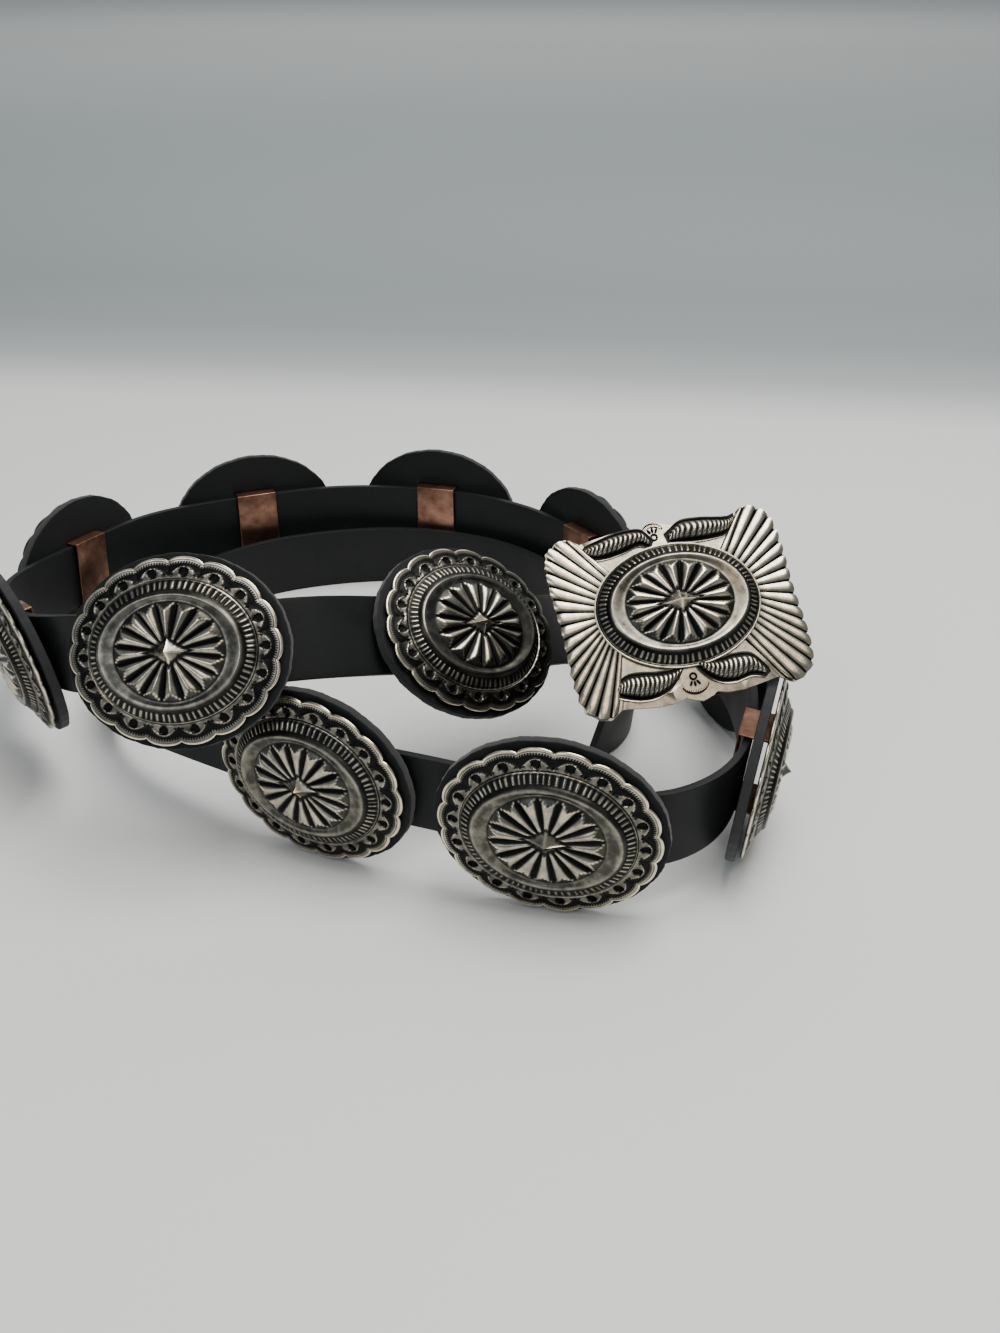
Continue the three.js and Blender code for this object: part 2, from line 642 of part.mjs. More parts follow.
// Cross sections of the strap: the end folded back inside, around the bail's bar, then the whole route.
function strapFrames() {
  const frames = [];
  const length = route.getLength();
  const foldStops = 6;
  const near = 2 * wrapRadius;
  const far = STRAP_THICKNESS + CLEARANCE;
  for (let i = 0; i < foldStops; i += 1) {
    const share = 1 - i / foldStops;
    const frame = frameAt(route.getUtoTmapping((share * FOLD_LENGTH) / length));
    const closing = Math.min(1, 1.6 * share);
    frame.point.addScaledVector(frame.outward, -(near + (far - near) * closing));
    frame.along.negate();
    frame.outward.negate();
    frames.push(frame);
  }
  const start = frameAt(0);
  const bar = start.point.clone().addScaledVector(start.outward, -wrapRadius);
  const wrapStops = 6;
  for (let i = 0; i < wrapStops; i += 1) {
    const angle = -Math.PI + (Math.PI * i) / wrapStops;
    const outward = start.outward.clone().multiplyScalar(Math.cos(angle))
      .addScaledVector(start.along, Math.sin(angle));
    const along = new THREE.Vector3().crossVectors(outward, start.across);
    const point = bar.clone().addScaledVector(outward, wrapRadius);
    frames.push({ point, along, across: start.across.clone(), outward });
  }
  for (let i = 0; i <= STRAP_STEPS; i += 1) {
    frames.push(frameAt(route.getUtoTmapping(i / STRAP_STEPS)));
  }
  return frames;
}

function strapGeometry() {
  const skin = new Skin();
  const rings = strapFrames().map(({ point, across, outward }) => {
    const corner = (w, n) => point.clone()
      .addScaledVector(across, (w * STRAP_WIDTH) / 2)
      .addScaledVector(outward, (n * STRAP_THICKNESS) / 2);
    return skin.ring([corner(1, 1), corner(1, -1), corner(-1, -1), corner(-1, 1)]);
  });
  for (let k = 0; k + 1 < rings.length; k += 1) {
    for (let i = 0; i < 4; i += 1) {
      const j = (i + 1) % 4;
      skin.faces.push([rings[k][i], rings[k + 1][j], rings[k + 1][i]]);
      skin.faces.push([rings[k][i], rings[k][j], rings[k + 1][j]]);
    }
  }
  const [a, b, c, d] = rings[0];
  skin.faces.push([a, c, b], [a, d, c]);
  const [e, f, g, h] = rings.at(-1);
  skin.faces.push([e, f, g], [e, g, h]);
  return skin.geometry();
}

// Assembly.

const belt = new THREE.Group();

function addMesh(parent, name, geometry, material, z = 0) {
  const mesh = new THREE.Mesh(geometry, material);
  mesh.name = name;
  mesh.position.z = z;
  parent.add(mesh);
}

addMesh(belt, 'strap', strapGeometry(), leather);

const concho = conchoGeometry();
const backing = backingGeometry();
const loop = loopGeometry();
ROUTE.forEach((row, i) => {
  if (!row.concho) {
    return;
  }
  const frame = frameAt((i + 2) / (places.length - 1));
  const group = new THREE.Group();
  const turn = new THREE.Matrix4().makeBasis(frame.along.clone().negate(), frame.across, frame.outward);
  group.quaternion.setFromRotationMatrix(turn);
  group.position.copy(frame.point);
  addMesh(group, `concho_${row.concho}`, concho, silver, conchoBack);
  addMesh(group, `concho_${row.concho}_backing`, backing, leather);
  addMesh(group, `concho_${row.concho}_loop`, loop, copper);
  belt.add(group);
});

const buckle = new THREE.Group();
buckle.quaternion.setFromRotationMatrix(buckleTurn);
buckle.position.copy(bucklePlace);
addMesh(buckle, 'buckle', buckleGeometry(), silver);
belt.add(buckle);

// The origin goes to the middle of the belt's footprint, on the table.
belt.updateMatrixWorld(true);
const box = new THREE.Box3().setFromObject(belt, true);
belt.position.set(-(box.min.x + box.max.x) / 2, -(box.min.y + box.max.y) / 2, -box.min.z);

export default belt;
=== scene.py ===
"""Concho belt on a pale table: the camera, the stage, the materials and the dressed pieces."""

import math

import bmesh
import bpy
import numpy as np
from mathutils import Matrix, Vector


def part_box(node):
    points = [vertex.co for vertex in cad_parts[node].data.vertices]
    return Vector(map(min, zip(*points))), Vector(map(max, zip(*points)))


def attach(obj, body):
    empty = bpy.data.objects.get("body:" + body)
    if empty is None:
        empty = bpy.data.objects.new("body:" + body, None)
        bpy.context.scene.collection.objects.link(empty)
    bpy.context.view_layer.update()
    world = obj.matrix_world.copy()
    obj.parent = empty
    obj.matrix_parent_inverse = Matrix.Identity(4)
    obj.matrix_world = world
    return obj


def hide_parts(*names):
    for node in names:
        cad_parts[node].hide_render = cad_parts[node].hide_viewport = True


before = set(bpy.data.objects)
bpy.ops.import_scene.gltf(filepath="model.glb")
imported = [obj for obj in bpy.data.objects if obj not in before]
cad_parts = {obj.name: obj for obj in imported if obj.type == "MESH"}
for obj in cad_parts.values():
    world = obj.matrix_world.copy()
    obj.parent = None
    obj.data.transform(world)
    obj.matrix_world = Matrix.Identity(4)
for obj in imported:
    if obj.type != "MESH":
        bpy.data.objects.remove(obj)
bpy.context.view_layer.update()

MM = 0.001
CONCHOS = [f"concho_{number:02d}" for number in range(1, 12)]

# Camera: a phone held above the front of the table, looking down at the coil.
CAMERA_PLACE = (46.38, -442.0, 258.5)
CAMERA_PITCH = 28.7
CAMERA_FOCAL = 1350 / 1333 * 36

camera_data = bpy.data.cameras.new("camera")
camera_data.sensor_fit = "VERTICAL"
camera_data.sensor_width = 36
camera_data.sensor_height = 36
camera_data.lens = CAMERA_FOCAL
camera_data.clip_start = 0.01
camera_data.clip_end = 20
camera = bpy.data.objects.new("camera", camera_data)
camera.location = Vector(CAMERA_PLACE) * MM
camera.rotation_euler = (math.radians(90 - CAMERA_PITCH), 0, 0)
bpy.context.scene.collection.objects.link(camera)
bpy.context.scene.camera = camera


# Shaping helpers


def start_clean():
    """Nothing stays selected, so that the next operator acts on the new piece alone."""
    if bpy.context.object and bpy.context.object.mode == "EDIT":
        bpy.ops.object.mode_set(mode="OBJECT")
    bpy.ops.object.select_all(action="DESELECT")


def work_on(piece):
    start_clean()
    piece.select_set(True)
    bpy.context.view_layer.objects.active = piece


def finish_with(piece, kind, **settings):
    """Adds one modifier and applies it."""
    work_on(piece)
    modifier = piece.modifiers.new(kind.lower(), kind)
    for name, value in settings.items():
        setattr(modifier, name, value)
    bpy.ops.object.modifier_apply(modifier=modifier.name)


def pick(piece, wanted, kind="verts"):
    """In edit mode, selects the vertices, edges or faces that pass the test."""
    bpy.ops.mesh.select_mode(type={"verts": "VERT", "edges": "EDGE", "faces": "FACE"}[kind])
    mesh = bmesh.from_edit_mesh(piece.data)
    for part in (mesh.verts, mesh.edges, mesh.faces):
        for item in part:
            item.select = False
    for item in getattr(mesh, kind):
        if wanted(item):
            item.select_set(True)
    mesh.select_flush_mode()
    bmesh.update_edit_mesh(piece.data)


def places(mesh):
    """The mesh's vertices as an array of millimetres."""
    flat = np.zeros(len(mesh.vertices) * 3)
    mesh.vertices.foreach_get("co", flat)
    return flat.reshape(-1, 3) / MM


def put_places(mesh, points):
    mesh.vertices.foreach_set("co", (np.asarray(points) * MM).ravel())
    mesh.update()


def set_oxide(mesh, values):
    """How dark each point of the silver is: 0 on a polished crest, 1 in a blackened recess."""
    layer = mesh.attributes.get("oxide") or mesh.attributes.new("oxide", "FLOAT", "POINT")
    layer.data.foreach_set("value", np.clip(values, 0, 1).astype(np.float32))


def smooth_step(low, high, value):
    share = np.clip((value - low) / (high - low), 0, 1)
    return share * share * (3 - 2 * share)


def placed(name, pattern, matrix, body="root"):
    """A copy of a finished pattern piece, with its place in its mesh."""
    mesh = pattern.data.copy()
    mesh.name = name
    mesh.transform(matrix)
    piece = bpy.data.objects.new(name, mesh)
    bpy.context.scene.collection.objects.link(piece)
    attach(piece, body)
    return piece


def copy_of_node(name, node):
    """A merged copy of a solid that can be shaped further."""
    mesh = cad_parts[node].data.copy()
    mesh.name = name
    mesh.materials.clear()
    piece = bpy.data.objects.new(name, mesh)
    bpy.context.scene.collection.objects.link(piece)
    work_on(piece)
    bpy.ops.object.mode_set(mode="EDIT")
    bpy.ops.mesh.select_all(action="SELECT")
    bpy.ops.mesh.remove_doubles(threshold=0.00001)
    bpy.ops.object.mode_set(mode="OBJECT")
    bpy.ops.mesh.customdata_custom_splitnormals_clear()
    return piece


# Materials


def colour(text):
    """An sRGB hex colour as linear numbers."""
    parts = [int(text[i:i + 2], 16) / 255 for i in (1, 3, 5)]
    return [c / 12.92 if c <= 0.04045 else ((c + 0.055) / 1.055) ** 2.4 for c in parts] + [1]


def add(tree, kind, inputs=None, **settings):
    """Adds a node with its settings, values and links."""
    node = tree.nodes.new(kind)
    for name, value in settings.items():
        setattr(node, name, value)
    for name, value in (inputs or {}).items():
        if isinstance(value, bpy.types.NodeSocket):
            tree.links.new(value, node.inputs[name])
        else:
            node.inputs[name].default_value = value
    return node


def blank_material(name):
    material = bpy.data.materials.new(name)
    material.use_nodes = True
    material.node_tree.nodes.clear()
    return material, material.node_tree


def finish_material(tree, inputs):
    shader = add(tree, "ShaderNodeBsdfPrincipled", inputs)
    add(tree, "ShaderNodeOutputMaterial", {"Surface": shader.outputs[0]})


def stamped_silver():
    """Sterling silver, stamped, then blackened with liver of sulphur and rubbed back: the recesses stay soft black and
    the crests are worn bright and a little warm. Fine rubbing marks and a cloudy tone are about 0.2 mm and 4 mm."""
    material, tree = blank_material("stamped_oxidised_silver")
    place = add(tree, "ShaderNodeTexCoord").outputs["Object"]
    oxide = add(tree, "ShaderNodeAttribute", attribute_name="oxide").outputs["Fac"]
    clouds = add(tree, "ShaderNodeTexNoise", {"Vector": place, "Scale": 260, "Detail": 4, "Roughness": 0.6})
    grains = add(tree, "ShaderNodeTexNoise", {"Vector": place, "Scale": 2600, "Detail": 3, "Roughness": 0.7})
    uneven = add(tree, "ShaderNodeMapRange", {"Value": clouds.outputs["Fac"], "From Min": 0.35, "From Max": 0.7,
                                             "To Min": -0.06, "To Max": 0.14})
    dark = add(tree, "ShaderNodeMath", {0: oxide, 1: uneven.outputs[0]}, operation="ADD", use_clamp=True)
    tone = add(tree, "ShaderNodeValToRGB", {"Fac": dark.outputs[0]})
    ramp = tone.color_ramp
    ramp.elements[0].color = colour("#F4E5CA")
    ramp.elements[1].color = colour("#1C1D1C")
    for at, text in ((0.28, "#A19B8E"), (0.55, "#4B4A45"), (0.82, "#272725")):
        ramp.elements.new(at).color = colour(text)
    rough = add(tree, "ShaderNodeMapRange", {"Value": dark.outputs[0], "To Min": 0.17, "To Max": 0.5})
    marks = add(tree, "ShaderNodeBump", {"Height": grains.outputs["Fac"], "Strength": 0.16, "Distance": 0.00005})
    finish_material(tree, {"Base Color": tone.outputs["Color"], "Metallic": 1.0, "Roughness": rough.outputs[0],
                           "Normal": marks.outputs[0]})
    return material


def black_leather(name, base, worn, grain_mm, roughness, depth, sheen):
    """Vegetable-tanned leather, dyed black. Strap: rolled smooth, close grain, a soft sheen. Backing: thicker, matt.
    The grain is drawn at about twice its real size so that it shows."""
    material, tree = blank_material(name)
    place = add(tree, "ShaderNodeTexCoord").outputs["Object"]
    cells = add(tree, "ShaderNodeTexVoronoi", {"Vector": place, "Scale": 1000 / grain_mm, "Randomness": 1.0},
                feature="DISTANCE_TO_EDGE")
    fine = add(tree, "ShaderNodeTexNoise", {"Vector": place, "Scale": 1500, "Detail": 4, "Roughness": 0.65})
    broad = add(tree, "ShaderNodeTexNoise", {"Vector": place, "Scale": 55, "Detail": 5, "Roughness": 0.55})
    tone = add(tree, "ShaderNodeMix", {"Factor": broad.outputs["Fac"], "A": colour(base), "B": colour(worn)},
               data_type="RGBA")
    creases = add(tree, "ShaderNodeMapRange", {"Value": cells.outputs["Distance"], "From Max": 0.16})
    height = add(tree, "ShaderNodeMath", {0: creases.outputs[0], 1: fine.outputs["Fac"]}, operation="ADD")
    bump = add(tree, "ShaderNodeBump", {"Height": height.outputs[0], "Strength": 0.5, "Distance": depth * MM})
    rough = add(tree, "ShaderNodeMapRange", {"Value": broad.outputs["Fac"], "From Min": 0.3, "From Max": 0.7,
                                            "To Min": roughness - 0.07, "To Max": roughness + 0.08})
    finish_material(tree, {"Base Color": tone.outputs["Result"], "Roughness": rough.outputs[0],
                           "Specular IOR Level": 0.3, "Sheen Weight": sheen, "Sheen Roughness": 0.5,
                           "Normal": bump.outputs[0]})
    return material


def cut_leather_edge():
    """The raw cut side of black leather: fibrous, dusty and a little paler than the dyed face."""
    material, tree = blank_material("cut_leather_edge")
    place = add(tree, "ShaderNodeTexCoord").outputs["Object"]
    fibres = add(tree, "ShaderNodeTexNoise", {"Vector": place, "Scale": 1900, "Detail": 5, "Roughness": 0.8})
    tone = add(tree, "ShaderNodeMix", {"Factor": fibres.outputs["Fac"], "A": colour("#070808"),
                                       "B": colour("#222426")}, data_type="RGBA")
    bump = add(tree, "ShaderNodeBump", {"Height": fibres.outputs["Fac"], "Strength": 0.9, "Distance": 0.0002})
    finish_material(tree, {"Base Color": tone.outputs["Result"], "Roughness": 0.92, "Sheen Weight": 0.15,
                           "Sheen Roughness": 0.6, "Normal": bump.outputs[0]})
    return material


def sheet_copper():
    """Rolled sheet copper, browned in air and wiped: satin, with cloudy darker patches and faint rolling lines."""
    material, tree = blank_material("browned_sheet_copper")
    place = add(tree, "ShaderNodeTexCoord").outputs["Object"]
    patches = add(tree, "ShaderNodeTexNoise", {"Vector": place, "Scale": 150, "Detail": 4, "Roughness": 0.6})
    lines = add(tree, "ShaderNodeMapping", {"Vector": place, "Scale": (300, 300, 6000)})
    rolled = add(tree, "ShaderNodeTexNoise", {"Vector": lines.outputs[0], "Scale": 1.0, "Detail": 2})
    tone = add(tree, "ShaderNodeValToRGB", {"Fac": patches.outputs["Fac"]})
    tone.color_ramp.elements[0].position = 0.3
    tone.color_ramp.elements[0].color = colour("#6B4739")
    tone.color_ramp.elements[1].position = 0.72
    tone.color_ramp.elements[1].color = colour("#B08672")
    rough = add(tree, "ShaderNodeMapRange", {"Value": patches.outputs["Fac"], "To Min": 0.48, "To Max": 0.3})
    bump = add(tree, "ShaderNodeBump", {"Height": rolled.outputs["Fac"], "Strength": 0.15, "Distance": 0.00005})
    finish_material(tree, {"Base Color": tone.outputs["Color"], "Metallic": 1.0, "Roughness": rough.outputs[0],
                           "Normal": bump.outputs[0]})
    return material


# The table is painted darker and cooler past a soft line that crosses it a little askew. This is painted shade where a
# dimly lit backdrop would stand, and farther off it is painted light that makes up for the lamps' fall-off. Each tone
# has its place along the spread.
PAINTED_SHADE_LINE_ASKEW = math.radians(-7.5)
FAR_PAINTED_SHADE_AND_LIGHT = ((0.0, "#E2E4E3"), (0.12, "#DFE1E0"), (0.215, "#AAB0B1"), (0.3, "#949B9D"), (0.4, "#929A9C"),
             (0.57, "#A3ABAD"), (0.74, "#B0B8BA"), (0.9, "#C9CDCE"), (1.0, "#F2F4F4"))


def matt_table():
    """A matt pale table top with painted shade in its far part: darker and cooler past the line, then painted lighter
    again far away to make up for the lamps' light falling off. The tones are spread over one divided by the distance
    from the front of the table, so that they change fast near the line and slowly far away."""
    material, tree = blank_material("matt_table_top_painted_shade_and_light")
    place = add(tree, "ShaderNodeTexCoord").outputs["Object"]
    away = add(tree, "ShaderNodeVectorMath", {0: place, 1: (-math.sin(PAINTED_SHADE_LINE_ASKEW), math.cos(PAINTED_SHADE_LINE_ASKEW), 0)},
               operation="DOT_PRODUCT")
    reach = add(tree, "ShaderNodeMath", {0: away.outputs["Value"], 1: 0.44}, operation="ADD")
    reach = add(tree, "ShaderNodeMath", {0: reach.outputs[0], 1: 0.2}, operation="MAXIMUM")
    share = add(tree, "ShaderNodeMath", {0: 1.0, 1: reach.outputs[0]}, operation="DIVIDE")
    share = add(tree, "ShaderNodeMapRange", {"Value": share.outputs[0], "From Min": 1.4, "From Max": 0.15})
    mottle = add(tree, "ShaderNodeTexNoise", {"Vector": place, "Scale": 900, "Detail": 2})
    # The ramp paints shade past the line and paints light far away.
    tone = add(tree, "ShaderNodeValToRGB", {"Fac": share.outputs[0]})
    ramp = tone.color_ramp
    ramp.elements[0].color = colour(FAR_PAINTED_SHADE_AND_LIGHT[0][1])
    ramp.elements[1].color = colour(FAR_PAINTED_SHADE_AND_LIGHT[-1][1])
    for at, text in FAR_PAINTED_SHADE_AND_LIGHT[1:-1]:
        ramp.elements.new(at).color = colour(text)
    bump = add(tree, "ShaderNodeBump", {"Height": mottle.outputs["Fac"], "Strength": 0.05, "Distance": 0.0002})
    finish_material(tree, {"Base Color": tone.outputs["Color"], "Roughness": 0.5, "Specular IOR Level": 0.25,
                           "Normal": bump.outputs[0]})
    return material


silver = stamped_silver()
strap_leather = black_leather("smooth_black_strap_leather", "#06090A", "#0D1113", 0.7, 0.55, 0.05, 0.02)
backing_leather = black_leather("thick_black_backing_leather", "#06090A", "#0C1011", 0.9, 0.7, 0.09, 0.03)
edge_leather = cut_leather_edge()
copper = sheet_copper()


# Where the pieces go


def turn_of(x, y, z, place):
    matrix = Matrix((x, y, z)).transposed().to_4x4()
    matrix.translation = place
    return matrix


def concho_place(name):
    """The concho's own frame, read from its backing: X along it, Y up across it, Z out of the silver, and the middle of
    the backing as its origin."""
    points = places(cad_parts[name + "_backing"].data)
    low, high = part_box(name)
    middle = (points.min(0) + points.max(0)) / 2
    _, axes = np.linalg.eigh(np.cov((np.unique(points.round(2), axis=0) - middle).T))
    out, across = Vector(axes[:, 0]), Vector(axes[:, 1])
    towards = (Vector(low) + Vector(high)) / 2 / MM - Vector(middle)
    if out.dot(towards) < 0:
        out.negate()
    if across.z < 0:
        across.negate()
    along = across.cross(out)
    spread = points @ np.array([along, across, out]).T
    centre = (spread.min(0) + spread.max(0)) / 2
    place = along * centre[0] + across * centre[1] + out * centre[2]
    return turn_of(along, across, out, place * MM)


CONCHO_BACK = 3.7  # from the middle of the backing to the back of the silver
places_of = {name: concho_place(name) for name in CONCHOS}

BUCKLE_FACING, BUCKLE_LEAN, BUCKLE_ROLL, BUCKLE_RISE = 6, 45, 9, 8.4


def buckle_place():
    turn = (Matrix.Rotation(math.radians(BUCKLE_FACING), 3, "Z")
            @ Matrix.Rotation(math.radians(90 - BUCKLE_LEAN), 3, "X")
            @ Matrix.Rotation(math.radians(BUCKLE_ROLL), 3, "Z"))
    spread = places(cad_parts["buckle"].data) @ np.array(turn)
    low, high = spread.min(0), spread.max(0)
    centre = Vector(((low[0] + high[0]) / 2, (low[1] + high[1]) / 2, high[2] - BUCKLE_RISE))
    matrix = turn.to_4x4()
    matrix.translation = turn @ centre * MM
    return matrix


# Stamped silver

SPOKES = 468  # points round each ring of the stamped ovals; keeps all that is added under a million triangles
LOBES, PETALS, LADDER_BARS = 18, 16, 80
RIM = (33.4, 28.2)
BORDER_INSIDE = (26.7, 22.0)
SCALLOP_DEPTH = 1.35
LADDER = (26.5, 21.8)
RIDGE = (22.0, 16.8)
PETAL_END = (17.3, 14.7)
BOSS = (6.6, 4.1)
BOSS_HOLLOW = 0.84  # below 1, the boss has hollow sides
FORK_REACH = 0.17  # how far the fork runs in from a petal's end, as a share


def oval_shell(name, rows):
    """A dish built ring by ring from its edge in to its middle. Each row is a ring's half length, half height and
    height in millimetres."""
    start_clean()
    bpy.ops.mesh.primitive_circle_add(vertices=SPOKES, radius=MM)
    piece = bpy.context.object
    piece.name = name
    bpy.ops.object.mode_set(mode="EDIT")
    bpy.ops.mesh.select_all(action="SELECT")
    last = (1, 1, 0)
    for number, row in enumerate(rows):
        if number:
            bpy.ops.mesh.extrude_edges_move()
        bpy.ops.transform.resize(value=(row[0] / last[0], row[1] / last[1], 1), center_override=(0, 0, 0))
        bpy.ops.transform.translate(value=(0, 0, (row[2] - last[2]) * MM))
        last = row
    bpy.ops.mesh.merge(type="CENTER")
    bpy.ops.object.mode_set(mode="OBJECT")
    return piece


def between(first, last, count):
    """count rows from first, which is left out, to last."""
    first, last = np.array(first, float), np.array(last, float)
    return [tuple(first + (last - first) * (i + 1) / count) for i in range(count)]


def middle_rows(length, height):
    """Rings of the stamped middle, inwards from the ladder's outer line, on an oval of this half length and height."""
    x, y = length / LADDER[0], height / LADDER[1]
    rows = [(26.5, 21.8, 1.35)]
    rows += between(rows[-1], (26.1, 21.4, 1.6), 2)
    rows += between(rows[-1], (23.3, 18.2, 3.3), 7)
    rows += between(rows[-1], (22.7, 17.5, 4.2), 3)
    rows += between(rows[-1], RIDGE + (4.6,), 3)
    rows += between(rows[-1], (20.9, 16.1, 4.45), 3)
    rows += between(rows[-1], (18.2, 15.4, 4.0), 4)
    rows += between(rows[-1], (17.4, 14.8, 4.0), 3)
    rows += between(rows[-1], (6.4, 5.4, 4.9), 14)
    rows += between(rows[-1], (0.4, 0.34, 5.0), 7)
    return [(a * x, b * y, z) for a, b, z in rows]


def stamp_middle(points, oxide, angle, share_x, share_y, plain):
    """Presses the ladder, the ridge, the petals and the boss. share_x and share_y turn a place on this piece into the
    concho's own millimetres. plain is how dark its smooth parts are left; the petals are rubbed brighter."""
    x, y = points[:, 0] / share_x, points[:, 1] / share_y
    rise = np.zeros(len(points))
    # Ladder: narrow bars up the sloping band, not quite evenly struck
    band = np.hypot(x / LADDER[0], y / LADDER[1])
    outer = np.hypot(x / 26.0, y / 21.3)
    inner = np.hypot(x / 23.2, y / 18.1)
    on_band = (outer < 1) & (inner > 1)
    wave = LADDER_BARS * angle / (2 * np.pi) + 0.12 * np.sin(7 * angle) + 0.1 * np.sin(23 * angle)
    phase = np.abs(2 * (wave % 1) - 1)
    bar = smooth_step(0.45, 0.75, phase)
    span = (1 - outer) / np.maximum((1 - outer) + (inner - 1), 1e-6)
    bar *= smooth_step(0.05, 0.16, span) * smooth_step(0.98, 0.86, span)
    rise += np.where(on_band, 0.34 * bar - 0.12, 0)
    oxide = np.where(on_band, 0.9 - 0.62 * bar, oxide)
    groove = np.exp(-((band - 0.992) / 0.007) ** 2)
    rise -= 0.25 * groove
    oxide = np.maximum(oxide, groove * 0.98)
    # Ridge and the smooth band inside it
    ridge = np.hypot(x / RIDGE[0], y / RIDGE[1])
    outside_ridge = (inner <= 1) & (ridge >= 1)
    oxide = np.where(outside_ridge, 0.75 - (0.8 - plain) * smooth_step(1.045, 1.0, ridge), oxide)
    end = np.hypot(x / PETAL_END[0], y / PETAL_END[1])
    on_smooth = (ridge < 1) & (end > 1)
    oxide = np.where(on_smooth, plain + 0.12 * smooth_step(1.0, 0.93, ridge), oxide)
    oxide = np.where(on_smooth, np.maximum(oxide, 0.8 * smooth_step(1.05, 1.0, end)), oxide)
    # Petals: hipped crests that open into a fork at their ends
    boss = (np.abs(x) / BOSS[0]) ** BOSS_HOLLOW + (np.abs(y) / BOSS[1]) ** BOSS_HOLLOW
    on_petals = (end <= 1) & (boss > 1)
    across = np.abs(2 * ((PETALS * angle / (2 * np.pi) + 0.5) % 1) - 1)
    side = 1 - across
    fork = (1 - end) / FORK_REACH
    roof = np.minimum(side, fork)
    tall = 0.5 + 0.9 * smooth_step(0.15, 0.9, end)
    fade = smooth_step(1.0, 1.25, boss)
    round_roof = 1 - (1 - np.clip(roof, 0, 1)) ** 1.6
    rise += np.where(on_petals, tall * round_roof * fade, 0)
    valley = 0.78 - 0.25 * smooth_step(0.4, 0.95, end)
    tone = plain - 0.18 + 0.88 * smooth_step(valley, 0.15, side)
    facet = 0.6 * smooth_step(0.0, 0.12, side - fork)
    fork_line = np.exp(-((side - fork) / 0.12) ** 2) * smooth_step(0.8, 0.84, end)
    tone = np.maximum(tone * (fork > side), facet) * (1 - 0.8 * fork_line)
    tone = np.maximum(tone, 0.9 * smooth_step(1.35, 1.05, boss))
    oxide = np.where(on_petals, tone, oxide)
    # Boss: a four-pointed star with hollowed flanks
    on_boss = boss <= 1
    rise += np.where(on_boss, 3.25 * (1 - boss) ** 1.1, 0)
    star = np.minimum(np.abs(x) / BOSS[0], np.abs(y) / BOSS[1])
    oxide = np.where(on_boss, 0.35 * smooth_step(0.0, 0.12, star) + 0.6 * smooth_step(0.84, 1.0, boss), oxide)
    return rise, oxide


def angles(points, length, height):
    return np.arctan2(points[:, 1] / height, points[:, 0] / length)


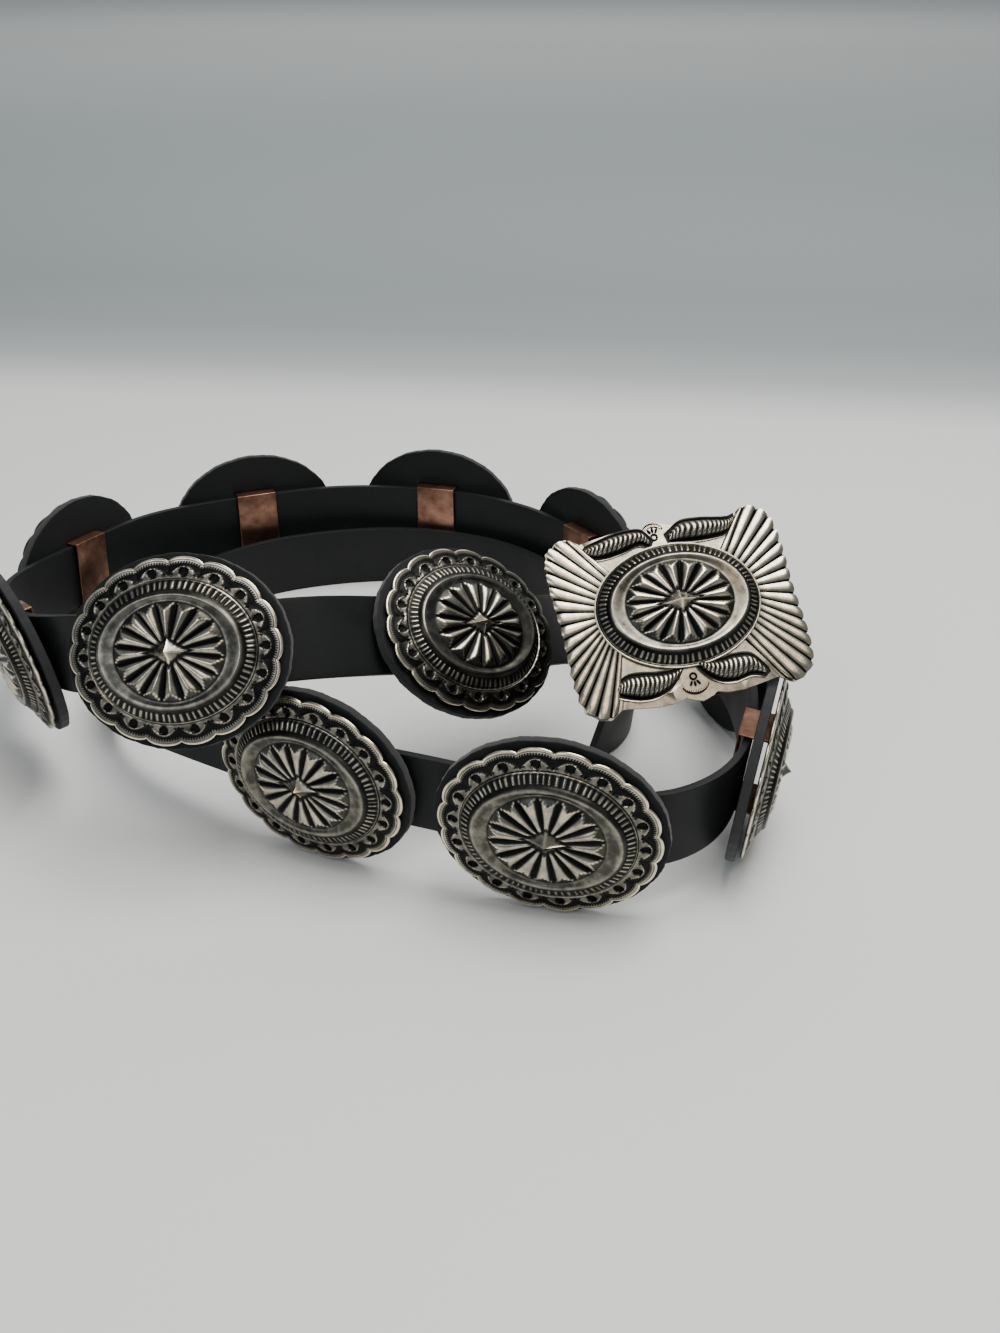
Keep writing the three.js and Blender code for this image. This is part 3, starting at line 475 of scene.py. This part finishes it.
def concho_pattern():
    rows = [(28.0, 23.4, -0.4), (32.2, 27.0, -1.0), (33.3, 28.1, -0.95), RIM + (-0.7,), RIM + (-0.2,), (33.2, 28.0, 0)]
    rows += between(rows[-1], BORDER_INSIDE + (1.3,), 18)
    middle_start = len(rows)
    rows += middle_rows(*LADDER)
    piece = oval_shell("concho_pattern", rows)
    mesh = piece.data
    points = places(mesh)
    ring = np.arange(len(points)) // SPOKES
    halves = np.array(rows + [rows[-1]])[np.minimum(ring, len(rows) - 1)]
    angle = angles(points, halves[:, 0], halves[:, 1])
    # Scallops: full at the rim, gone at the ladder
    lobe = LOBES * angle / (2 * np.pi)
    u = 2 * ((lobe + 0.5) % 1) - 1
    inward = SCALLOP_DEPTH * (1 - np.sqrt(1 - (0.95 * u) ** 2)) / (1 - math.sqrt(1 - 0.95 ** 2))
    depth = np.clip((RIM[0] - halves[:, 0]) / (RIM[0] - BORDER_INSIDE[0]), 0, 1)
    inward *= np.where(ring < middle_start, (1 - depth) ** 0.55, 0)
    inward[ring == 0] *= 0.2
    reach = np.hypot(points[:, 0], points[:, 1])
    points[:, :2] *= (1 - inward / np.maximum(reach, 1))[:, None]
    # Stamps of the border, from the rim in: q runs in from the edge and s along it, both in millimetres
    q = depth * 6.7
    s = np.abs(u) * 5.35
    border = (ring >= 5) & (ring < middle_start)
    rise = np.zeros(len(points))
    oxide = np.where(q < 0.75, 0.03, 0.22)
    line = np.exp(-((q - 0.85) / 0.16) ** 2)
    rise -= 0.1 * line
    oxide += 0.35 * line
    tooth = (np.arange(len(points)) % 2) * ((q > 1.5) & (q < 2.35))
    groove = smooth_step(1.35, 1.55, q) * smooth_step(2.95, 2.7, q)
    rise -= np.where(border, 0.22 * groove - 0.2 * tooth, 0)
    oxide = np.where(border, np.maximum(oxide, groove * np.where(tooth > 0, 0.35, 1.0)), oxide)
    lid = 2.95 + 2.5 * np.minimum(s / 4.9, 1.2) ** 1.7
    frame_line = np.exp(-((q - lid - 0.22) / 0.26) ** 2)
    below = smooth_step(0.0, 0.3, q - lid)
    corner = smooth_step(2.7, 3.0, q) * (1 - below)
    rise += np.where(border, 0.3 * frame_line + 0.12 * below - 0.15 * corner, 0)
    oxide = np.where(border & (q > 2.75), 0.9 * corner + 0.42 * below * (1 - frame_line), oxide)
    hole = smooth_step(1.75, 1.35, np.hypot(s, (q - 5.0) * 1.05))
    rise -= np.where(border, 0.9 * hole, 0)
    oxide = np.where(border, np.maximum(oxide, 1.3 * hole), oxide)
    for where in ((5.35, 3.5), (5.35, 5.6), (4.1, 5.5)):
        punch = smooth_step(0.6, 0.35, np.hypot(s - where[0], q - where[1]))
        rise -= np.where(border, 0.25 * punch, 0)
        oxide = np.where(border, np.maximum(oxide, punch), oxide)
    # Painted shade and painted reflection: the back and outer edge of the rim are painted near black, as if in shade
    # and mirroring the black backing.
    oxide = np.where(ring < 3, 0.97, np.where(ring == 3, 0.6, oxide))
    inside = ring >= middle_start
    pressed, toned = stamp_middle(points, oxide, angle, 1, 1, 0.38)
    rise = np.where(inside, pressed, rise)
    oxide = np.where(inside, toned, oxide)
    points[:, 2] += rise
    put_places(mesh, points)
    set_oxide(mesh, oxide)
    close_and_smooth(piece)
    mesh.materials.append(silver)
    return piece


def close_and_smooth(piece):
    """Closes the open back with one face and turns all faces outwards."""
    work_on(piece)
    bpy.ops.object.mode_set(mode="EDIT")
    pick(piece, lambda edge: edge.is_boundary, "edges")
    bpy.ops.mesh.edge_face_add()
    bpy.ops.mesh.select_all(action="SELECT")
    bpy.ops.mesh.normals_make_consistent(inside=False)
    bpy.ops.object.mode_set(mode="OBJECT")
    bpy.ops.object.shade_smooth_by_angle(angle=math.radians(50))


concho = concho_pattern()
for name in CONCHOS:
    at = places_of[name] @ Matrix.Translation((0, 0, CONCHO_BACK * MM))
    piece = placed(name + "_silver", concho, at)
    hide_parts(name)
bpy.data.objects.remove(concho)


# Leather backings and copper loops

BACKING = (35.0, 29.3, 3.0)
SLOT = (17.4, 1.4, 13.6)  # length, width and distance from the middle


def backing_pattern():
    start_clean()
    bpy.ops.mesh.primitive_cylinder_add(vertices=180, radius=MM, depth=BACKING[2] * MM)
    piece = bpy.context.object
    piece.name = "backing_pattern"
    bpy.ops.object.mode_set(mode="EDIT")
    bpy.ops.mesh.select_all(action="SELECT")
    bpy.ops.transform.resize(value=(BACKING[0], BACKING[1], 1), center_override=(0, 0, 0))
    bpy.ops.object.mode_set(mode="OBJECT")
    for side in (-1, 1):
        start_clean()
        bpy.ops.mesh.primitive_cube_add(size=MM, location=(0, side * SLOT[2] * MM, 0))
        cutter = bpy.context.object
        cutter.scale = (SLOT[0], SLOT[1], 8)
        bpy.context.view_layer.update()
        finish_with(piece, "BOOLEAN", operation="DIFFERENCE", object=cutter)
        bpy.data.objects.remove(cutter)
    finish_with(piece, "BEVEL", width=0.45 * MM, segments=3, limit_method="ANGLE", angle_limit=math.radians(60))
    mesh = piece.data
    points = places(mesh)
    angle = angles(points, *BACKING[:2])
    share = np.hypot(points[:, 0] / BACKING[0], points[:, 1] / BACKING[1])
    rough = 0.09 * np.sin(17 * angle + 1) + 0.07 * np.sin(41 * angle) + 0.05 * np.sin(83 * angle + 2)
    points[:, :2] *= (1 + np.where(share > 0.95, rough / 32, 0))[:, None]
    put_places(mesh, points)
    mesh.materials.append(backing_leather)
    mesh.materials.append(edge_leather)
    for face in mesh.polygons:
        face.material_index = int(abs(face.normal.z) < 0.5)
    work_on(piece)
    bpy.ops.object.shade_smooth_by_angle(angle=math.radians(40))
    return piece


backing = backing_pattern()
for name in CONCHOS:
    piece = placed(name + "_leather", backing, places_of[name])
    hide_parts(name + "_backing")
    loop = copy_of_node(name + "_copper", name + "_loop")
    bpy.ops.object.mode_set(mode="EDIT")
    bpy.ops.mesh.select_all(action="SELECT")
    bpy.ops.mesh.dissolve_limited(angle_limit=math.radians(2))
    bpy.ops.object.mode_set(mode="OBJECT")
    finish_with(loop, "BEVEL", width=0.3 * MM, segments=3, limit_method="ANGLE", angle_limit=math.radians(40))
    loop.data.materials.append(copper)
    bpy.ops.object.shade_smooth_by_angle(angle=math.radians(40))
    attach(loop, "root")
    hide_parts(name + "_loop")
bpy.data.objects.remove(backing)


# Strap

STRAP = (25.4, 2.6)  # width and thickness


def is_diagonal(edge):
    """True for the flat edges that aren't one of a cross section's four sides."""
    flat = edge.is_manifold and edge.calc_face_angle() < math.radians(55)
    side = min(abs(edge.calc_length() / MM - size) for size in STRAP)
    return flat and side > 0.01


def dress_strap():
    strap = copy_of_node("strap_leather", "strap")
    bpy.ops.object.mode_set(mode="EDIT")
    bpy.ops.mesh.select_all(action="SELECT")
    pick(strap, is_diagonal, "edges")
    bpy.ops.mesh.dissolve_edges(use_verts=False)
    pick(strap, lambda edge: edge.is_manifold and edge.calc_face_angle() > math.radians(55), "edges")
    bpy.ops.mesh.bevel(offset=0.35 * MM, segments=2, affect="EDGES")
    bpy.ops.object.mode_set(mode="OBJECT")
    finish_with(strap, "SUBSURF", levels=2, render_levels=2)
    mesh = strap.data
    mesh.materials.append(strap_leather)
    work_on(strap)
    bpy.ops.object.shade_smooth()
    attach(strap, "root")
    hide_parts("strap")
    return strap


strap = dress_strap()


# Buckle

FAN_EDGE = [(1, 0), (1.01, 0.3), (1.01, 0.62), (0.97, 0.88), (0.86, 0.98), (0.77, 1.0), (0.695, 0.915)]
BUCKLE = (36.75, 29.0)
BUCKLE_OVAL = (25.5, 19.4)
OVAL_RAISE = 1.4
RAYS = 17
# Where the fans' last rays start on the oval, in radians up or down from its ends: (side, way up or down)
FAN_ROOTS = {(1, 1): 0.83, (1, -1): 0.83, (-1, 1): 0.81, (-1, -1): 0.64}


def fan_edge():
    """The fan's outer edge in millimetres, from the middle of the side to the corner at the top, evenly spaced."""
    rows = np.array(FAN_EDGE) * BUCKLE
    rows = np.vstack([rows[1] * (1, -1), rows, 2 * rows[-1] - rows[-2]])
    fine = []
    for i in range(1, len(rows) - 2):
        a, b, c, d = rows[i - 1:i + 3]
        for t in np.linspace(0, 1, 20, endpoint=False):
            fine.append(0.5 * (2 * b + (c - a) * t + (2 * a - 5 * b + 4 * c - d) * t ** 2
                               + (3 * b - a - 3 * c + d) * t ** 3))
    fine.append(rows[-2])
    fine = np.array(fine)
    run = np.concatenate([[0], np.cumsum(np.linalg.norm(np.diff(fine, axis=0), axis=1))])
    even = np.linspace(0, run[-1], RAYS + 1)
    return np.column_stack([np.interp(even, run, fine[:, k]) for k in (0, 1)])


def ray_pattern():
    """One flat strip, 1 by 1: X runs out along the ray and Y across it."""
    start_clean()
    bpy.ops.mesh.primitive_grid_add(x_subdivisions=16, y_subdivisions=14, size=MM)
    piece = bpy.context.object
    piece.name = "ray_pattern"
    bpy.ops.object.mode_set(mode="EDIT")
    bpy.ops.mesh.select_all(action="SELECT")
    bpy.ops.transform.translate(value=(0.5 * MM, 0, 0))
    bpy.ops.object.mode_set(mode="OBJECT")
    return piece


def joined(name, pieces):
    work_on(pieces[0])
    for piece in pieces:
        piece.select_set(True)
    bpy.ops.object.join()
    pieces[0].name = name
    return pieces[0]


def fan_rays():
    """Both fans: convex rays with rounded ends and a blackened groove between each two."""
    edge = fan_edge()
    pattern = ray_pattern()
    flat = places(pattern.data)
    rays = []
    for number in range(-(RAYS - 1), RAYS, 2):
        for side in (-1, 1):
            ends = []
            for k in (number - 1, number + 1):
                x, y = edge[abs(k)]
                way = 1 if k >= 0 else -1
                root = way * abs(k) / RAYS * FAN_ROOTS[side, way]
                root_y = OVAL_RAISE + BUCKLE_OVAL[1] * math.sin(root)
                ends.append((BUCKLE_OVAL[0] * math.cos(root), root_y, x, way * y))
            (ax, ay, bx, by), (cx, cy, dx, dy) = ends
            along, v = flat[:, 0], 2 * flat[:, 1]
            share = (v + 1) / 2
            root_x, root_y = ax + (cx - ax) * share, ay + (cy - ay) * share
            end_x, end_y = bx + (dx - bx) * share, by + (dy - by) * share
            stretch = 1 - 0.05 * np.abs(v) ** 2.5
            x = root_x + (end_x - root_x) * along * stretch
            y = root_y + (end_y - root_y) * along * stretch
            fall = smooth_step(0.9, 1.0, along)
            arch = np.sqrt(np.clip(1 - v ** 2, 0, 1))
            z = 1.95 - 0.6 * along + (0.35 + 0.4 * along) * arch - 0.55 * fall * (1 - 0.4 * arch)
            mesh = pattern.data.copy()
            put_places(mesh, np.column_stack([side * x, y, z]))
            set_oxide(mesh, 0.17 + 0.82 * smooth_step(0.7, 0.97, np.abs(v)) + 0.25 * smooth_step(0.25, 0.0, along))
            ray = bpy.data.objects.new("ray", mesh)
            bpy.context.scene.collection.objects.link(ray)
            if side < 0:
                mesh.flip_normals()
            rays.append(ray)
    bpy.data.objects.remove(pattern)
    return rays


# The four leaves as seen from the front. Each row is one cross line of a leaf: the place of its lower end and of its
# upper end, in millimetres from the middle of the plate.
LEAVES = {
    "upper_left": [(-24.1, 23.1, -23.7, 24.3), (-21.2, 21.2, -20.0, 25.4), (-16.6, 20.9, -14.8, 26.7),
                   (-11.4, 21.8, -9.9, 27.1), (-6.4, 23.0, -5.2, 26.3), (-3.6, 21.6, -2.9, 23.0)],
    "upper_right": [(3.0, 21.9, 3.0, 24.2), (6.4, 21.4, 7.4, 27.0), (12.2, 20.9, 13.6, 26.9),
                    (17.0, 20.9, 18.6, 26.0), (21.2, 21.6, 22.2, 25.4), (24.4, 24.6, 24.6, 25.9)],
    "lower_left": [(-25.3, -21.9, -24.5, -19.6), (-22.6, -23.4, -21.2, -17.6), (-18.3, -24.8, -16.6, -17.6),
                   (-13.6, -24.8, -12.1, -18.4), (-8.9, -23.0, -7.6, -18.6), (-4.6, -19.4, -3.8, -18.0)],
    "lower_right": [(0.5, -17.6, 0.7, -16.8), (2.9, -21.0, 3.9, -17.8), (6.5, -23.9, 7.9, -18.1),
                    (11.0, -24.9, 12.7, -17.6), (16.4, -24.0, 17.8, -18.8), (20.6, -25.0, 21.2, -23.9)],
}


def smooth_rows(rows, at):
    """Smooth values between rows of numbers: each column is a Catmull-Rom curve over the rows."""
    last = len(rows) - 1
    rows = np.vstack([2 * rows[0] - rows[1], rows, 2 * rows[-1] - rows[-2]])
    start = np.minimum(at.astype(int), last - 1)
    t = (at - start)[:, None]
    a, b, c, d = (rows[start + k] for k in range(4))
    return 0.5 * (2 * b + (c - a) * t + (2 * a - 5 * b + 4 * c - d) * t ** 2 + (3 * b - a - 3 * c + d) * t ** 3)


def leaf_spread(rows, margin, share, v):
    """Where the points of a leaf lie that is wider than its rows by the margin. share runs along it from 0 to 1, and v
    across it from -1 to 1."""
    rows = np.array(rows)
    for end, beside in ((0, 1), (-1, -2)):
        ahead = rows[end] - rows[beside]
        rows[end] += 0.6 * margin * ahead / np.linalg.norm(ahead[:2])
    stops = smooth_rows(rows, share * (len(rows) - 1))
    low, high = stops[:, :2], stops[:, 2:]
    middle, half = (low + high) / 2, (high - low) / 2
    reach = np.linalg.norm(half, axis=1)
    return middle + half * (v * (1 + margin / np.maximum(reach, 0.6)))[:, None]


def leaf_pieces():
    """The domed, ribbed and ticked leaves, each in a sunk, blackened bed inside a fine raised line."""
    pieces = []
    for name, rows in LEAVES.items():
        for kind, margin, count, width in (("leaf", 0, 160, 40), ("bed", 1.3, 60, 28)):
            start_clean()
            bpy.ops.mesh.primitive_grid_add(x_subdivisions=count, y_subdivisions=width, size=MM)
            piece = bpy.context.object
            piece.name = name + "_" + kind
            grid = places(piece.data)
            share, v = grid[:, 0] + 0.5, 2 * grid[:, 1]
            flat = leaf_spread(rows, margin, share, v)
            if kind == "leaf":
                dome = np.sqrt(np.clip(1 - v ** 2, 0, 1))
                body = np.sin(np.pi * np.clip(share, 0.02, 0.98)) ** 0.5
                wave = (16 * share + 0.55 * v ** 2) % 1
                rib = np.sin(np.pi * wave) ** 0.7
                tick = 0.5 + 0.5 * np.cos(10 * np.pi * v)
                height = 1.3 + (0.35 + 1.9 * body) * dome + 0.32 * rib * dome
                oxide = 0.95 - rib * (0.6 + 0.3 * tick) * smooth_step(1.0, 0.6, np.abs(v))
            else:
                line = np.exp(-((np.abs(v) - 0.9) / 0.07) ** 2)
                line *= smooth_step(0, 0.04, share) * smooth_step(1, 0.96, share)
                height = 1.55 + 0.5 * line - 1.3 * smooth_step(0.93, 1.0, np.abs(v))
                oxide = 0.95 - 0.85 * line
            put_places(piece.data, np.column_stack([flat, height]))
            set_oxide(piece.data, oxide)
            pieces.append(piece)
    return pieces


TAB_MIDDLE = {-1: (-1.3, -21.1), 1: (-1.3, 24.2)}  # the ring's middle on the lower and the upper tab


def tab_marks():
    """The small stamps on both tabs: a ring, three short strokes fanned out from it and a toothed crescent."""
    marks = []

    def mark(kind, side, turn, reach, size, height, tone):
        """One stamp, reach millimetres out from the ring's middle, turned away from the middle line."""
        start_clean()
        if kind == "ball":
            bpy.ops.mesh.primitive_uv_sphere_add(segments=12, ring_count=8, radius=0.5 * MM)
        else:
            bpy.ops.mesh.primitive_cube_add(size=MM)
        piece = bpy.context.object
        piece.scale = size
        piece.rotation_euler = (0, 0, -side * turn)
        x, y = TAB_MIDDLE[side]
        piece.location = Vector((x + reach * math.sin(turn), side * reach * math.cos(turn) + y, height)) * MM
        bpy.ops.object.transform_apply(location=True, rotation=True, scale=True)
        set_oxide(piece.data, np.full(len(piece.data.vertices), tone))
        marks.append(piece)

    for side, reach in ((-1, 5.0), (1, 4.0)):
        start_clean()
        bpy.ops.mesh.primitive_torus_add(major_radius=0.95 * MM, minor_radius=0.32 * MM, major_segments=28,
                                         minor_segments=8, location=(0, 0, 0))
        ring = bpy.context.object
        ring.location = Vector((*TAB_MIDDLE[side], 1.45)) * MM
        bpy.ops.object.transform_apply(location=True, rotation=True, scale=True)
        set_oxide(ring.data, np.full(len(ring.data.vertices), 0.97))
        marks.append(ring)
        for turn in (-0.5, 0, 0.5):
            mark("ball", side, turn, 2.35, (0.85, 1.9, 0.8), 1.3, 1.0)
        for k in range(-16, 17):
            mark("block", side, k * 0.056, reach, (0.5, 1.25 - (k / 16) ** 2 * 0.7, 0.5), 1.28, 1.0)
        for k in range(-7, 8):
            mark("block", side, k * 0.115, reach - 0.25, (0.16, 0.6, 0.5), 1.42, 0.1)
    return marks


def buckle_middle():
    rows = middle_rows(*BUCKLE_OVAL)
    rows = [(a, b, z + 1.05) for a, b, z in rows]
    skirt = [(BUCKLE_OVAL[0] + 0.5, BUCKLE_OVAL[1] + 0.5, 1.0), (BUCKLE_OVAL[0] + 0.45, BUCKLE_OVAL[1] + 0.45, 2.3)]
    rows = skirt + between(skirt[-1], rows[0], 3)[:-1] + rows
    piece = oval_shell("buckle_middle", rows)
    points = places(piece.data)
    ring = np.arange(len(points)) // SPOKES
    halves = np.array(rows)[np.minimum(ring, len(rows) - 1)]
    angle = angles(points, halves[:, 0], halves[:, 1])
    oxide = np.where(ring < 4, 0.3, 0.15)
    share_x, share_y = BUCKLE_OVAL[0] / LADDER[0], BUCKLE_OVAL[1] / LADDER[1]
    rise, oxide = stamp_middle(points, oxide, angle, share_x, share_y, 0.3)
    scale = np.where(np.abs(points[:, 0]) / 6 + np.abs(points[:, 1]) / 3.5 < 1, 0.8, 1)
    points[:, 2] += rise * scale
    points[:, 1] += OVAL_RAISE
    put_places(piece.data, points)
    set_oxide(piece.data, oxide)
    return piece


def under_the_oval(face):
    """True for the plate's front faces that the stamped oval covers."""
    x, y, z = face.calc_center_median() / MM
    reach = math.hypot(x / BUCKLE_OVAL[0], (y - OVAL_RAISE) / BUCKLE_OVAL[1])
    return face.normal.z > 0.2 and z > 0.5 and reach < 0.97


def dress_buckle():
    at = buckle_place()
    base = copy_of_node("buckle_silver", "buckle")
    base.data.transform(at.inverted())
    points = places(base.data)
    in_oval = np.hypot(points[:, 0] / BUCKLE_OVAL[0], (points[:, 1] - OVAL_RAISE) / BUCKLE_OVAL[1])
    top = points[:, 2] > 0.95
    points[:, 2] = np.where(top & (in_oval > 0.98), np.minimum(points[:, 2] - 0.45, 1.35), points[:, 2])
    put_places(base.data, points)
    set_oxide(base.data, np.where(top & (in_oval > 0.98), 0.3, 0.45))
    bpy.ops.object.mode_set(mode="EDIT")
    pick(base, under_the_oval, "faces")
    bpy.ops.mesh.delete(type="FACE")
    bpy.ops.object.mode_set(mode="OBJECT")
    pieces = [base, buckle_middle()] + fan_rays() + tab_marks() + leaf_pieces()
    buckle = joined("buckle_silver", pieces)
    buckle.data.materials.clear()
    buckle.data.materials.append(silver)
    buckle.data.transform(at)
    work_on(buckle)
    bpy.ops.object.shade_smooth_by_angle(angle=math.radians(50))
    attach(buckle, "root")
    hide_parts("buckle")


dress_buckle()


# Stage and light


def table():
    """A wide table, so that it fills the view to the top and nothing stands behind the belt."""
    start_clean()
    bpy.ops.mesh.primitive_plane_add(size=20)
    floor = bpy.context.object
    floor.name = "table"
    floor.data.materials.append(matt_table())


def area_light(name, place, target, size, power, tint="#FFFFFF"):
    data = bpy.data.lights.new(name, "AREA")
    data.shape = "RECTANGLE"
    data.size, data.size_y = size
    data.energy = power
    data.color = colour(tint)[:3]
    light = bpy.data.objects.new(name, data)
    light.location = place
    light.rotation_euler = (Vector(target) - Vector(place)).to_track_quat("-Z", "Y").to_euler()
    bpy.context.scene.collection.objects.link(light)


table()
area_light("overhead_window", (0.33, 0.0, 1.3), (0, 0, 0), (1.1, 0.7), 21.5, "#FFFCF7")
area_light("ceiling_lamp", (0.3, -0.85, 1.25), (0, 0, 0), (0.7, 0.5), 2.6, "#FFEBD0")
area_light("far_ceiling_lamp", (0.0, 3.0, 1.9), (0.0, 3.0, 0.0), (4.0, 3.0), 44, "#FFFBF4")
area_light("front_fill", (-0.7, -1.2, 0.9), (0, 0, 0.05), (0.7, 0.7), 5, "#F4F8FF")

world = bpy.data.worlds.new("room")
world.use_nodes = True
world.node_tree.nodes["Background"].inputs["Color"].default_value = colour("#BBC5CB")
world.node_tree.nodes["Background"].inputs["Strength"].default_value = 0.42
bpy.context.scene.world = world
